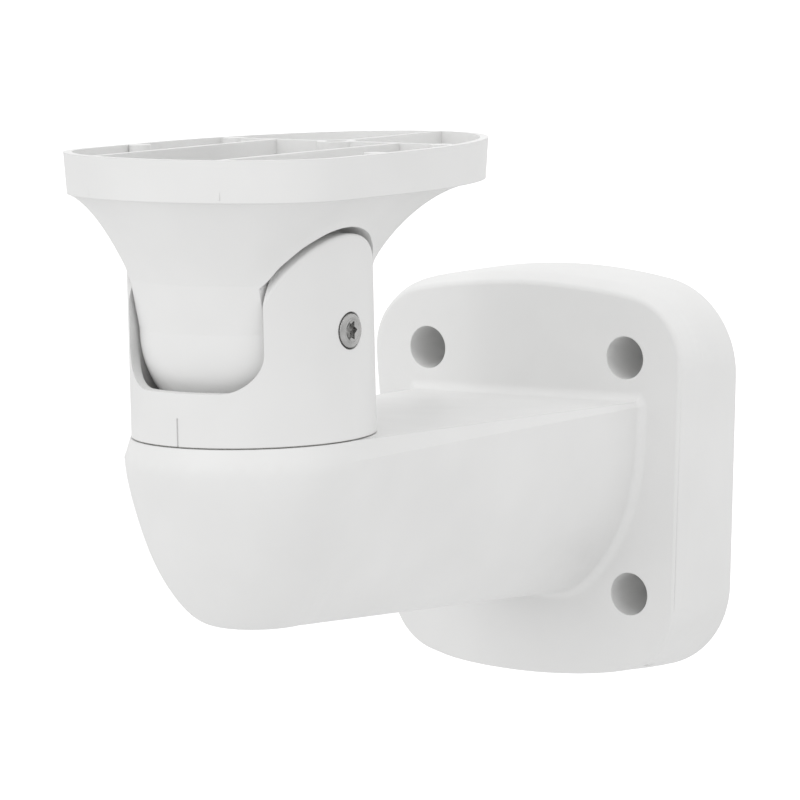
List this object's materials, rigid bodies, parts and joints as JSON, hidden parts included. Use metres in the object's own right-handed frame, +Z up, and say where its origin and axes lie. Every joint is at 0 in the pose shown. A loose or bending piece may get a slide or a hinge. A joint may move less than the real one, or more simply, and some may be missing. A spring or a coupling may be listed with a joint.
{
  "type": "camera wall bracket",
  "caption": "White wall bracket with a hollow arm, a swivel fork on its nose and a tilting tray-shaped shoe for a camera.",
  "frame": {"origin": "centre of the four wall holes, on the wall's face", "axes": "+Z up, +Y into the wall, so the arm reaches out along -Y"},
  "size_m": [0.1168, 0.2157, 0.1759],
  "materials": {
    "arm_paint": "fine matt powder coat",
    "yoke_paint": "fine matt powder coat",
    "shoe_paint": "fine matt powder coat",
    "steel": "satin stainless",
    "washer": "natural acetal"
  },
  "bodies": {
    "arm": {"wall_arm": "arm_paint", "pan_washer": "washer"},
    "fork": {"yoke": "yoke_paint", "pan_disc_spring": "steel", "retaining_ring": "steel", "ring_screw_1": "steel", "ring_screw_2": "steel", "ring_screw_3": "steel", "ring_screw_4": "steel", "tilt_washer_left": "washer", "tilt_washer_right": "washer"},
    "shoe": {"camera_shoe": "shoe_paint", "tilt_screw_left": "steel", "tilt_screw_right": "steel", "tilt_nut_left": "steel", "tilt_nut_right": "steel"}
  },
  "joints": [
    {"name": "pan", "type": "hinge", "parent": "arm", "child": "fork", "pos_m": [0, -0.1677, 0.0276], "axis": [0, 0, 1], "range_deg": [-180, 180]},
    {"name": "tilt", "type": "hinge", "parent": "fork", "child": "shoe", "pos_m": [0, -0.1677, 0.05885], "axis": [0.9999, -0.014, 0], "range_deg": [-28.85, 31.15]}
  ]
}
